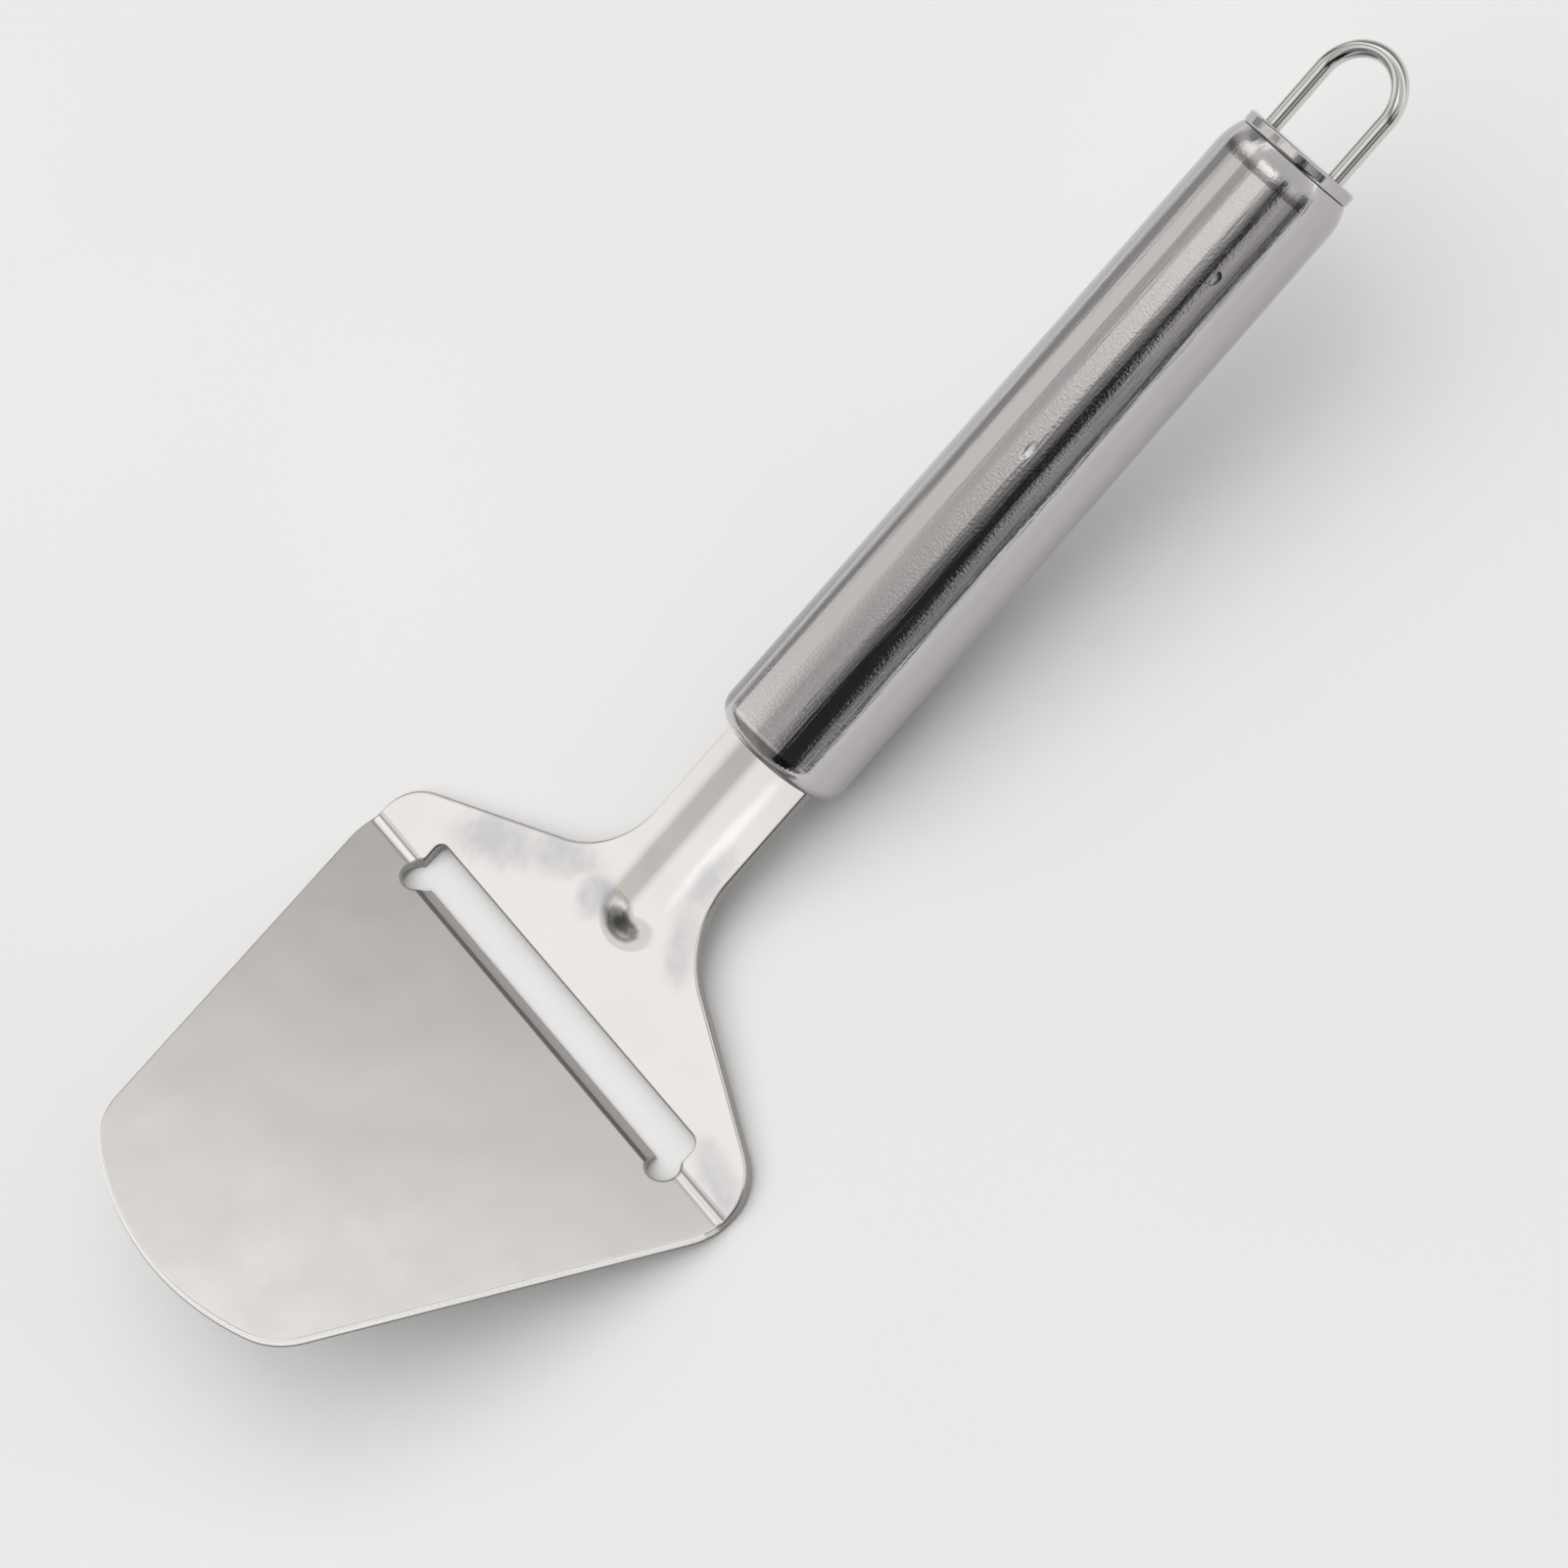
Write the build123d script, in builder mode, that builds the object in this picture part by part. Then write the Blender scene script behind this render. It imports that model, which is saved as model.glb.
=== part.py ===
from build123d import *
import os
from math import asin, atan2, cos, degrees, hypot, radians, sin, sqrt, tan

# Cheese slicer with a stamped blade, a hollow round handle and a wire hanging loop, in millimetres.
# It lies as it is put down on a table: on the bend beside its slot and on the front rim of the handle.
# +X points to the hanging loop, +Y across the blade and +Z up. The origin is under the middle of its box.

# Blade: one sheet, flat at the toe, bent up at the slot into the shoulder and the neck
sheet_thickness = 1.5
sheet_edge_radius = 0.4
bend_angle = 35.0
bend_radius = 3.0
toe_length = 61.9
nose_half_width = 22.0
nose_radius = 42.0
nose_corner_radius = 10.0
blade_half_width = 41.4
toe_corner_radius = 12.0
shoulder_corner_radius = 8.0
shoulder_slope = 25.0
neck_length = 45.3
neck_fillet_radius = 14.0
tang_length = 14.0
tang_side_clearance = 0.55

# Slot and cutting lip
slot_depth_on_shoulder = 3.5
slot_end_margin = 10.8
slot_corner_radius = 1.5
notch_radius = 2.35
notch_inset = 1.3
notch_setback = 0.2
lip_setback = 1.9
lip_length = 2.6
lip_angle = 36.0
lip_edge_thickness = 0.2
lip_bend_radius = 1.2
lip_bevel_setback = 1.2

# Pressed channel that stiffens the neck
channel_start = 13.0
channel_side_margin = 3.1
channel_depth = 0.9
channel_flank_angle = 74.0
channel_edge_radius = 6.0
channel_floor_share = 0.8

# Handle tube
handle_radius = 10.0
handle_taper = 0.4
tube_wall = 0.6
tube_end = 103.2
tube_shoulder_length = 2.05
tube_shoulder_drop = 0.95
tube_shoulder_radius = 9.5

# Front cap
front_cap_radius = 3.2
front_cap_wall = 0.8
front_cap_skirt = 6.0
cap_fit_clearance = 0.05
tang_slot_clearance = 0.1

# Weld round the neck behind the wall of the front cap
weld_width = 1.0
weld_height = 1.0

# Rear cap
rear_cap_overhang = 0.05
rear_cap_depth = 1.9
rear_cap_wall = 1.0
rear_cap_edge_radius = 0.5

# Hanging loop
wire_radius = 1.2
loop_straight = 9.7
loop_head_flare = 0.2
loop_head_clearance = 0.05
loop_head_thickness = 0.7
loop_hole_clearance = 0.05

# Length that a cutting shape runs past what it cuts
overrun = 5.0

# Front cap: its skirt slides into the tube, and the tang stands in its hollow
skirt_radius = handle_radius - tube_wall - cap_fit_clearance
cavity_radius = skirt_radius - front_cap_wall
front_flat_radius = handle_radius - front_cap_radius
cavity_corner = cavity_radius - front_flat_radius
neck_half_width = cavity_radius - tang_side_clearance
channel_half_width = neck_half_width - channel_side_margin

# Slot across the blade, with a notch at each end
slot_half_length = blade_half_width - slot_end_margin
notch_offset = slot_half_length - notch_inset

# Rear end of the handle: the tube rounds in, the cap closes it, and the loop's heads lie in the cap
handle_rear_radius = handle_radius - handle_taper
tube_end_radius = handle_rear_radius - tube_shoulder_drop
tube_shoulder_start = tube_end - tube_shoulder_length
rear_cap_radius = tube_end_radius + rear_cap_overhang
rear_cap_bore = rear_cap_radius - rear_cap_wall
rear_cap_end = tube_end + rear_cap_depth
rear_cap_floor = rear_cap_end - rear_cap_wall
loop_head_radius = wire_radius + loop_head_flare
loop_half_spacing = rear_cap_bore - loop_head_clearance - loop_head_radius
loop_end = rear_cap_floor - loop_head_thickness
loop_centre = rear_cap_end + loop_straight
loop_reach = loop_centre + loop_half_spacing


def polar(length, angle):
    """A length laid off at an angle in degrees."""
    return Vector(length * cos(radians(angle)), length * sin(radians(angle)))


# Side view of the blade: x from the bend's first tangent line towards the handle, y up from the upper face
bend_centre = Vector(0, bend_radius)
shoulder_foot = bend_centre + polar(bend_radius, bend_angle - 90)
sheet_middle = polar(sheet_thickness / 2, bend_angle - 90)
handle_front = shoulder_foot + polar(neck_length, bend_angle) + sheet_middle
rim_centre = (
    handle_front
    + polar(front_cap_radius, bend_angle)
    + polar(front_flat_radius, bend_angle - 90)
)

# The table touches the bend's outer arc and the rounded front rim of the handle
bend_outer_radius = bend_radius + sheet_thickness
contact_span = rim_centre - bend_centre
contact_rise = asin((bend_outer_radius - front_cap_radius) / hypot(contact_span.X, contact_span.Y))
rest_tilt = degrees(atan2(contact_span.Y, contact_span.X) + contact_rise)


def turned(point):
    """A side-view point turned so that the table is level."""
    return point.rotate(Axis.Z, -rest_tilt)


nose_under_edge = turned(Vector(-toe_length, -sheet_thickness))
loop_tip = turned(handle_front + polar(loop_reach, bend_angle))
middle = (nose_under_edge.X + loop_tip.X + wire_radius) / 2
table = turned(bend_centre).Y - bend_outer_radius


def side_point(point):
    """The place in the part's own frame of a side-view point of the blade."""
    level = turned(point)
    return Vector(level.X - middle, 0, level.Y - table)


def pitched_plane(point, pitch):
    """A plane through a side-view point, its x rising at that pitch from the toe plate and its y across."""
    rise = radians(pitch - rest_tilt)
    return Plane(
        origin=side_point(point),
        x_dir=(cos(rise), 0, sin(rise)),
        z_dir=(-sin(rise), 0, cos(rise)),
    )


def across(plane, along):
    """A plane square to another one's x at a distance along it, its x across and its y upwards."""
    return Plane(origin=plane.from_local_coords((along, 0, 0)), x_dir=(0, -1, 0), z_dir=-plane.x_dir)


def lengthwise(plane):
    """The upright plane that holds another one's x."""
    return Plane(origin=plane.origin, x_dir=plane.x_dir, z_dir=(0, -1, 0))


def upright(plane):
    """The axis that stands on a plane's origin."""
    return Axis(plane.origin, plane.z_dir)


toe_plane = pitched_plane(Vector(0, 0), 0)
shoulder_plane = pitched_plane(shoulder_foot, bend_angle)
handle_plane = pitched_plane(handle_front, bend_angle)
handle_side = lengthwise(handle_plane)
handle_axis = Axis(handle_plane.origin, handle_plane.x_dir)

# Toe outline: a wide arc at the nose, straight sides and a rounded corner that ends square to the bend
nose_corner_along = nose_radius - toe_length - sqrt(nose_radius**2 - nose_half_width**2)
toe_corner_centre = blade_half_width - toe_corner_radius
side_run = Vector(-nose_corner_along, toe_corner_centre - nose_half_width)
side_angle = degrees(
    atan2(side_run.Y, side_run.X) + asin(toe_corner_radius / hypot(side_run.X, side_run.Y))
)
side_end = Vector(0, toe_corner_centre) + polar(toe_corner_radius, 90 + side_angle)

# Shoulder outline: a rounded corner, a straight slope and a hollow curve into the neck
corner_sweep = 90 - shoulder_slope
shoulder_corner_centre = blade_half_width - shoulder_corner_radius
slope_start = Vector(0, shoulder_corner_centre) + polar(shoulder_corner_radius, shoulder_slope)
neck_root = slope_start.X + (slope_start.Y - neck_half_width) * tan(radians(shoulder_slope))
tang_end = neck_length + tang_length

# Slot and lip: the lip's upper face turns down on an arc, and its under edge is ground to the cutting edge
bend_reach = bend_outer_radius * sin(radians(bend_angle))
notch_centre = Vector(-notch_setback, notch_offset)
lip_arc_centre = Vector(-lip_setback, -lip_bend_radius)
lip_arc_end = lip_arc_centre + polar(lip_bend_radius, 90 - lip_angle)
lip_edge = lip_arc_end + polar(lip_length - lip_bend_radius * radians(lip_angle), -lip_angle)
lip_under_edge = lip_edge + polar(lip_edge_thickness, -90 - lip_angle)
bevel_start = lip_edge - polar(lip_bevel_setback, -lip_angle) + polar(sheet_thickness, -90 - lip_angle)
lip_root = lip_arc_centre.X - (sheet_thickness - lip_bend_radius) * tan(radians(lip_angle) / 2)

# Channel: the lower face of the sheet folds this much further out than the upper one
channel_fold_reach = tan(radians(90 - channel_flank_angle) / 2)
channel_fold_shift = sheet_thickness * channel_fold_reach
channel_narrowing = channel_depth * tan(radians(channel_flank_angle))
channel_floor_half_width = channel_half_width - channel_narrowing
# Where the neck is narrow, the channel's floor limits the rounding of its folds
channel_floor_radius = channel_floor_share * channel_floor_half_width / channel_fold_reach
channel_fold_radius = min(channel_edge_radius, channel_floor_radius)


def channel_outline(half_width):
    """The channel's outline on the shoulder: a round end and straight sides past the tang."""
    centre = channel_start + channel_half_width
    run = tang_end + overrun - centre
    with Locations((centre, 0)):
        Circle(half_width)
    with Locations((centre + run / 2, 0)):
        Rectangle(run, 2 * half_width)


def channel_folds(choice):
    """The channel's two folds that lie highest: round its outline, and round its floor."""
    reach = (neck_half_width + channel_half_width) / 2
    inner = choice.filter_by(shoulder_plane).filter_by_position(Axis.Y, -reach, reach)
    lower, upper = inner.filter_by(Axis.Y, reverse=True).group_by(upright(shoulder_plane))[-2:]
    return lower + upper


def slot_rim(choice):
    """The slot's upper rim on the shoulder: its far edge, two corners and two ends."""
    shoulder_top = choice.filter_by(shoulder_plane).sort_by(upright(shoulder_plane))[-1]
    inner = shoulder_top.edges().filter_by_position(Axis.Y, -slot_half_length, slot_half_length)
    return inner.sort_by(Axis(shoulder_plane.origin, shoulder_plane.x_dir))[:5]


def neck_section():
    """The neck cut across: a flat strip with the channel pressed down in its middle."""
    upper = [
        (neck_half_width, 0),
        (channel_half_width, 0),
        (channel_floor_half_width, -channel_depth),
        (-channel_floor_half_width, -channel_depth),
        (-channel_half_width, 0),
        (-neck_half_width, 0),
    ]
    lower = [
        (-neck_half_width, -sheet_thickness),
        (-channel_half_width - channel_fold_shift, -sheet_thickness),
        (-channel_floor_half_width - channel_fold_shift, -sheet_thickness - channel_depth),
        (channel_floor_half_width + channel_fold_shift, -sheet_thickness - channel_depth),
        (channel_half_width + channel_fold_shift, -sheet_thickness),
        (neck_half_width, -sheet_thickness),
    ]
    Polygon(*upper, *lower, align=None)


def tube_profile(inset):
    """The tube's side, moved in by an inset: a slow taper, then a rounded shoulder down to the end."""
    return FilletPolyline(
        (front_cap_radius, handle_radius - inset),
        (tube_shoulder_start, handle_rear_radius - inset),
        (tube_end, tube_end_radius - inset),
        radius=tube_shoulder_radius,
    )


with BuildPart() as blade:
    with BuildSketch(toe_plane):
        with BuildLine():
            ThreePointArc(
                (nose_corner_along, -nose_half_width),
                (-toe_length, 0),
                (nose_corner_along, nose_half_width),
            )
            Line((nose_corner_along, nose_half_width), side_end)
            CenterArc((0, toe_corner_centre), toe_corner_radius, 90, side_angle)
            Line((0, blade_half_width), (0, -blade_half_width))
            CenterArc((0, -toe_corner_centre), toe_corner_radius, -90 - side_angle, side_angle)
            Line((side_end.X, -side_end.Y), (nose_corner_along, -nose_half_width))
        make_face()
        fillet(vertices().group_by(Axis.X)[0], nose_corner_radius)
    extrude(amount=-sheet_thickness)
    with BuildSketch(across(toe_plane, 0)):
        with Locations((0, -sheet_thickness / 2)):
            Rectangle(2 * blade_half_width, sheet_thickness)
    revolve(axis=Axis(side_point(bend_centre), (0, -1, 0)), revolution_arc=bend_angle)
    with BuildSketch(shoulder_plane):
        with BuildLine():
            Line((0, -blade_half_width), (0, blade_half_width))
            CenterArc((0, shoulder_corner_centre), shoulder_corner_radius, shoulder_slope, corner_sweep)
            Polyline(
                slope_start,
                (neck_root, neck_half_width),
                (tang_end, neck_half_width),
                (tang_end, -neck_half_width),
                (neck_root, -neck_half_width),
                (slope_start.X, -slope_start.Y),
            )
            CenterArc((0, -shoulder_corner_centre), shoulder_corner_radius, -90, corner_sweep)
        make_face()
        fillet(vertices().group_by(Axis.X)[-2], neck_fillet_radius)
    extrude(amount=-sheet_thickness)
    toe_top = faces().filter_by(toe_plane).sort_by(upright(toe_plane))[-1]
    shoulder_top = faces().filter_by(shoulder_plane).sort_by(upright(shoulder_plane))[-1]
    bend_rims = edges().filter_by(GeomType.CIRCLE).group_by(SortBy.RADIUS)[0]
    outline = (toe_top.edges() + shoulder_top.edges()).filter_by(Axis.Y, reverse=True) + bend_rims
    fillet(outline, sheet_edge_radius)
    with BuildSketch(shoulder_plane):
        with BuildLine():
            Polyline(
                (-lip_setback, -slot_half_length),
                (slot_depth_on_shoulder, -slot_half_length),
                (slot_depth_on_shoulder, slot_half_length),
                (-lip_setback, slot_half_length),
                close=True,
            )
        make_face()
        fillet(vertices().group_by(Axis.X)[-1], slot_corner_radius)
    extrude(amount=overrun, both=True, mode=Mode.SUBTRACT)
    with BuildSketch(toe_plane):
        with Locations(((bend_reach - lip_setback) / 2, 0)):
            Rectangle(bend_reach + lip_setback, 2 * slot_half_length)
    extrude(amount=overrun, both=True, mode=Mode.SUBTRACT)
    fillet(slot_rim(faces()), sheet_edge_radius)
    with BuildSketch(lengthwise(toe_plane)):
        with BuildLine():
            CenterArc(lip_arc_centre, lip_bend_radius, 90, -lip_angle)
            Polyline(
                lip_arc_end,
                lip_edge,
                lip_under_edge,
                bevel_start,
                (lip_root, -sheet_thickness),
                (lip_root, 0),
                (-lip_setback, 0),
            )
        make_face()
    extrude(amount=notch_offset, both=True)
    with BuildSketch(toe_plane):
        with Locations(notch_centre, (notch_centre.X, -notch_centre.Y)):
            Circle(notch_radius)
    extrude(amount=overrun, both=True, mode=Mode.SUBTRACT)
    with BuildSketch(shoulder_plane.offset(-sheet_thickness)):
        channel_outline(channel_half_width + channel_fold_shift)
    extrude(amount=-channel_depth, taper=channel_flank_angle)
    with BuildSketch(across(shoulder_plane, tang_end)):
        Rectangle(2 * handle_radius, 2 * handle_radius)
    extrude(amount=-2 * overrun, mode=Mode.SUBTRACT)
    fillet(channel_folds(edges()), channel_fold_radius)
    with BuildSketch(shoulder_plane):
        channel_outline(channel_half_width)
    extrude(amount=-channel_depth, taper=channel_flank_angle, mode=Mode.SUBTRACT)
    fillet(channel_folds(edges()), channel_fold_radius)
blade.part.label = "blade"

with BuildPart() as front_cap:
    with BuildSketch(handle_side):
        with BuildLine():
            Line((0, 0), (0, front_flat_radius))
            CenterArc((front_cap_radius, front_flat_radius), front_cap_radius, 180, -90)
            Polyline(
                (front_cap_radius, handle_radius),
                (front_cap_radius, skirt_radius),
                (front_cap_radius + front_cap_skirt, skirt_radius),
                (front_cap_radius + front_cap_skirt, cavity_radius),
                (front_cap_wall + cavity_corner, cavity_radius),
            )
            CenterArc((front_cap_wall + cavity_corner, front_flat_radius), cavity_corner, 90, 90)
            Polyline((front_cap_wall, front_flat_radius), (front_cap_wall, 0), (0, 0))
        make_face()
    revolve(axis=handle_axis)
    with BuildSketch(across(shoulder_plane, neck_length)):
        neck_section()
        offset(amount=tang_slot_clearance, kind=Kind.INTERSECTION)
    extrude(amount=front_cap_radius, both=True, mode=Mode.SUBTRACT)
front_cap.part.label = "front_cap"

with BuildPart() as neck_welds:
    with BuildSketch(across(shoulder_plane, neck_length + front_cap_wall)):
        neck_section()
        offset(amount=weld_width)
        Rectangle(2 * (front_flat_radius - weld_width), 2 * handle_radius, mode=Mode.INTERSECT)
    extrude(amount=-weld_height)
    add(blade.part, mode=Mode.SUBTRACT)
lower_weld, upper_weld = neck_welds.solids().sort_by(Axis.Z)
lower_weld.label = "neck_weld_lower"
upper_weld.label = "neck_weld_upper"

with BuildPart() as handle_tube:
    with BuildSketch(handle_side):
        with BuildLine():
            outer = tube_profile(0)
            inner = tube_profile(tube_wall)
            Line(outer @ 0, inner @ 0)
            Line(outer @ 1, inner @ 1)
        make_face()
    revolve(axis=handle_axis)
handle_tube.part.label = "handle_tube"

with BuildPart() as rear_cap:
    with BuildSketch(handle_side):
        with BuildLine():
            Polyline(
                (tube_end, rear_cap_radius),
                (tube_end, rear_cap_bore),
                (rear_cap_floor, rear_cap_bore),
                (rear_cap_floor, 0),
                (rear_cap_end, 0),
                (rear_cap_end, rear_cap_radius),
                close=True,
            )
        make_face()
    revolve(axis=handle_axis)
    rims = edges().filter_by(GeomType.CIRCLE).group_by(SortBy.RADIUS)[-1]
    fillet(rims, rear_cap_edge_radius)
    with BuildSketch(across(handle_plane, rear_cap_end)):
        with Locations((loop_half_spacing, 0), (-loop_half_spacing, 0)):
            Circle(wire_radius + loop_hole_clearance)
    extrude(amount=rear_cap_wall, both=True, mode=Mode.SUBTRACT)
rear_cap.part.label = "rear_cap"

with BuildPart() as hanging_loop:
    with BuildLine(handle_plane):
        Line((loop_end, -loop_half_spacing), (loop_centre, -loop_half_spacing))
        CenterArc((loop_centre, 0), loop_half_spacing, -90, 180)
        Line((loop_centre, loop_half_spacing), (loop_end, loop_half_spacing))
    with BuildSketch(across(handle_plane, loop_end)):
        with Locations((loop_half_spacing, 0)):
            Circle(wire_radius)
    sweep()
    with BuildSketch(across(handle_plane, loop_end)):
        with Locations((loop_half_spacing, 0), (-loop_half_spacing, 0)):
            Circle(loop_head_radius)
    extrude(amount=-loop_head_thickness)
hanging_loop.part.label = "hanging_loop"

os.makedirs("parts", exist_ok=True)
export_step(blade.part, "parts/blade.step")
export_step(front_cap.part, "parts/front_cap.step")
export_step(lower_weld, "parts/neck_weld_lower.step")
export_step(upper_weld, "parts/neck_weld_upper.step")
export_step(handle_tube.part, "parts/handle_tube.step")
export_step(rear_cap.part, "parts/rear_cap.step")
export_step(hanging_loop.part, "parts/hanging_loop.step")
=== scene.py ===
"""Cheese slicer: steel finishes, floor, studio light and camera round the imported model."""

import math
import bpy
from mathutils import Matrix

bl_info = {
    "name": "Cheese slicer finishes",
    "version": (1, 0, 0),
    "blender": (4, 5, 0),
    "location": "3D View > Sidebar > Slicer",
    "description": "Steel finishes, floor, light and camera for the packed cheese slicer",
    "category": "Object",
}

import bpy
import numpy as np
from bpy.props import FloatProperty, FloatVectorProperty, IntProperty, PointerProperty

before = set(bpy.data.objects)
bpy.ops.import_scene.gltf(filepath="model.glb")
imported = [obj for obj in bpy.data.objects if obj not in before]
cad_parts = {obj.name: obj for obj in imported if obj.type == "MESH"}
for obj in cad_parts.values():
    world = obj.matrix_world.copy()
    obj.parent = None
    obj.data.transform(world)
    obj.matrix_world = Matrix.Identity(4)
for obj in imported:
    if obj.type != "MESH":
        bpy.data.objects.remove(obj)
# The imported meshes and the view layer are refreshed first
for cad_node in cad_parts.values():
    cad_node.data.update()
bpy.context.view_layer.update()

# Most of a noise texture's values lie between these two
CLOUD_LOW = 0.3
CLOUD_HIGH = 0.7

# A few long strips of plain grey light that hang round the handle, before an even surround. A strip lies
# between two edges: (turn at the handle's front, turn at its rear, softness), all in degrees about the
# handle's line, from straight above it towards +Y. Then come its light at the front and at the rear.
SURROUND_LIGHT = 0.5
STRIPS = (
    (((-92, -95, 3), (-78, -75, 4)), 0.1, 0.1),
    (((-78, -75, 4), (-66, -62, 4)), 0.2, 0.3),
    (((-66, -62, 4), (-34, -42, 3)), 0.4, 0.4),
    (((-34, -40, 3), (-17, -24, 3)), 0.15, 0.25),
    (((-17, -24, 3), (13, 12, 4)), 0.3, 0.85),
    (((13, 12, 4), (22, 28, 4)), 0.5, 0.4),
    (((22, 28, 4), (73, 62, 4)), 0.65, 0.7),
    (((73, 62, 4), (86, 90, 3)), 0.25, 0.3),
)

# The darkest strip lies over the others and narrows towards the rear
DARK_STRIP_EDGES = ((-71, -47, 2), (-31, -38, 4))
DARK_STRIP_LIGHT = 0.02

# All of them have one slightly warm tint
STRIP_TINT = (1.02, 1.0, 0.98)

# The strips' front ends pass into their rear ends between these two leans of a direction along the
# handle's line
FRONT_END_LEAN = -0.16
REAR_END_LEAN = -0.03

# Even light that partly covers the strips where the blade's neck and shoulders mirror them
NECK_LIGHT = 0.6
NECK_LIGHT_SHARE = 0.35
NECK_LIGHT_FROM = -0.170
NECK_LIGHT_TO = -0.185

# How strongly the strips shine by how far a direction leans forward along the handle's line
STRIP_STRENGTH = (
    (-1.0, 0.55),
    (-0.60, 0.50),
    (-0.50, 0.55),
    (-0.40, 1.30),
    (-0.30, 1.60),
    (-0.19, 1.72),
    (-0.17, 1.19),
    (0.02, 1.19),
    (0.07, 0.45),
    (0.13, 0.50),
    (0.22, 1.30),
    (0.35, 1.80),
    (1.0, 1.50),
)

# The large panel that the toe plate faces: its direction, the leans between which it takes over from the
# strips, and (how far a direction leans into the panel, light there)
PANEL_DIRECTION = (-0.44, -0.50, 0.75)
PANEL_FROM_LEAN = 0.32
PANEL_FULL_LEAN = 0.46
PANEL_STEPS = (
    (-1.0, (0.45, 0.45, 0.45)),
    (-0.25, (0.28, 0.28, 0.28)),
    (-0.065, (0.24, 0.236, 0.232)),
    (0.075, (1.32, 1.30, 1.28)),
    (0.17, (1.28, 1.27, 1.26)),
    (0.30, (0.70, 0.69, 0.68)),
    (1.0, (0.55, 0.55, 0.54)),
)

# Patches of painted reflection, cool in tint, on the shoulders and neck: (middle, reach, turn about Z that
# squares the reach to the axes, and how dense the patch is there). Finer clouds thin the patches between
# their low and high values.
REFLECTION_PATCHES = (
    ((-0.0430, 0.0235, 0.0035), (0.0034, 0.0085, 0.0100), -0.47, 0.85),
    ((-0.0385, 0.0150, 0.0045), (0.0026, 0.0070, 0.0100), -0.47, 0.90),
    ((-0.0382, 0.0062, 0.0045), (0.0030, 0.0032, 0.0100), 0.0, 1.0),
    ((-0.0335, -0.0090, 0.0050), (0.0058, 0.0026, 0.0100), -0.66, 0.75),
    ((-0.0256, -0.0056, 0.0066), (0.0050, 0.0022, 0.0100), -0.10, 0.70),
    ((-0.0505, -0.0365, 0.0020), (0.0022, 0.0062, 0.0100), 0.20, 0.85),
)
PATCH_CLOUD_GRAIN = 0.00028
PATCH_CLOUD_LOW = 0.36
PATCH_CLOUD_HIGH = 0.60
PATCH_THINNEST = 0.60
PATCH_ROUGHENS = 0.08

# Blade: grain and relief of the satin, and the marks on it with how strongly each shows
BLADE_GRAIN = 0.0003
BLADE_GRAIN_SHARE = 0.02
BLADE_RELIEF = 0.00007
CLOUD_SHADE = (0.66, 0.65, 0.65, 1.0)
CLOUD_STRENGTH = 0.07
WORN_SHADE = (0.70, 0.69, 0.70, 1.0)
WORN_STRENGTH = 0.28
STREAK_SHADE = (0.94, 0.93, 0.92, 1.0)
STREAK_STRENGTH = 0.25
STREAK_ROUGHENS = 0.06
STREAK_SPACING_SHARE = 0.6
STREAK_COVER = 0.35
WORN_COVER = 0.55
TOE_ROUGHNESS_SWING = 0.02
CUT_EDGE_ROUGHNESS = 0.38

# A painted highlight in a streak along the neck
NECK_HIGHLIGHT_PLACE = (-0.0185, -0.0032, 0.0068)
NECK_HIGHLIGHT_REACH = (0.0120, 0.0013, 0.0060)
NECK_HIGHLIGHT_SHADE = (0.95, 0.95, 0.94, 1.0)

# Painted shade in the channel's round end
TIP_SHADE_PLACE = (-0.0382, 0.0006, 0.0038)
TIP_SHADE_REACH = (0.0014, 0.0026, 0.0040)

# Edges of the blade: how far their normals lean along the sheet's own, how wide each change is, and how
# dark the painted shade on the neck's edges and the notches' rims is
TOE_WALL_LEAN = 0.40
TOE_RIM_LEAN = 0.98
SLOT_EDGE_LEAN = 0.97
NECK_EDGE_LEAN = 0.80
NECK_EDGE_STRENGTH = 0.85
CREASE_FADE_AHEAD = 0.0006
CREASE_FADE_BEHIND = 0.0002
SLOT_EDGE_FADE = 0.0004
RIM_FOOT_FADE = 0.00015
NOTCH_BEHIND_LIP = 0.0019
NOTCH_RIM_OUTER = 0.00042
NOTCH_RIM_INNER = 0.00018
NOTCH_RIM_STRENGTH = 0.8
LIP_LENGTH = 0.0028
LIP_ROOT_FADE = 0.0003
LIP_END_FADE = 0.0002
LIP_TIP_FADE = 0.0001

# Handle: marks on the polish with how strongly each shows, how much each roughens, and the relief
HANDLE_GRAIN = 0.00035
HANDLE_GRAIN_SHARE = 0.28
HANDLE_RELIEF = 0.000045
HANDLE_SCRATCH_SHADE = (0.52, 0.51, 0.50, 1.0)
HANDLE_SCRATCH_STRENGTH = 0.12
HANDLE_SCRATCH_COVER = 0.55
HANDLE_SCRATCH_ROUGHENS = 0.12
DEEP_SCRATCH_SPACING_SHARE = 3.0
DEEP_SCRATCH_ROUGHENS = 0.1
DEEP_SCRATCH_COVER = 0.1
HANDLE_FILM_STRENGTH = 0.12
HANDLE_FILM_ROUGHENS = 0.06
HANDLE_FILM_SIZE_SHARE = 1.6
HANDLE_FILM_COVER = 0.3

# The handle's flanks, which take painted shade: how far their normals lean upwards, how far the far one's
# leans towards +Y, and where along the handle the far flank's painted shade passes from its front to its
# rear colour
FLANK_LEAN = 0.55
FAR_FLANK_FROM = 0.50
FAR_FLANK_FULL = 0.58
FAR_SHADE_FRONT = -0.002
FAR_SHADE_REAR = 0.040

# Two small nicks in the tube: (middle, reach)
NICKS = (
    ((0.07477, -0.00672, 0.03235), (0.0009, 0.0004, 0.0008)),
    ((0.04299, -0.00386, 0.02821), (0.0011, 0.0005, 0.0008)),
)
NICK_SHADE = (0.95, 0.95, 0.95, 1.0)
NICK_ROUGHNESS = 0.25
NICK_DEPTH_SHARE = 1.6

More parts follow.
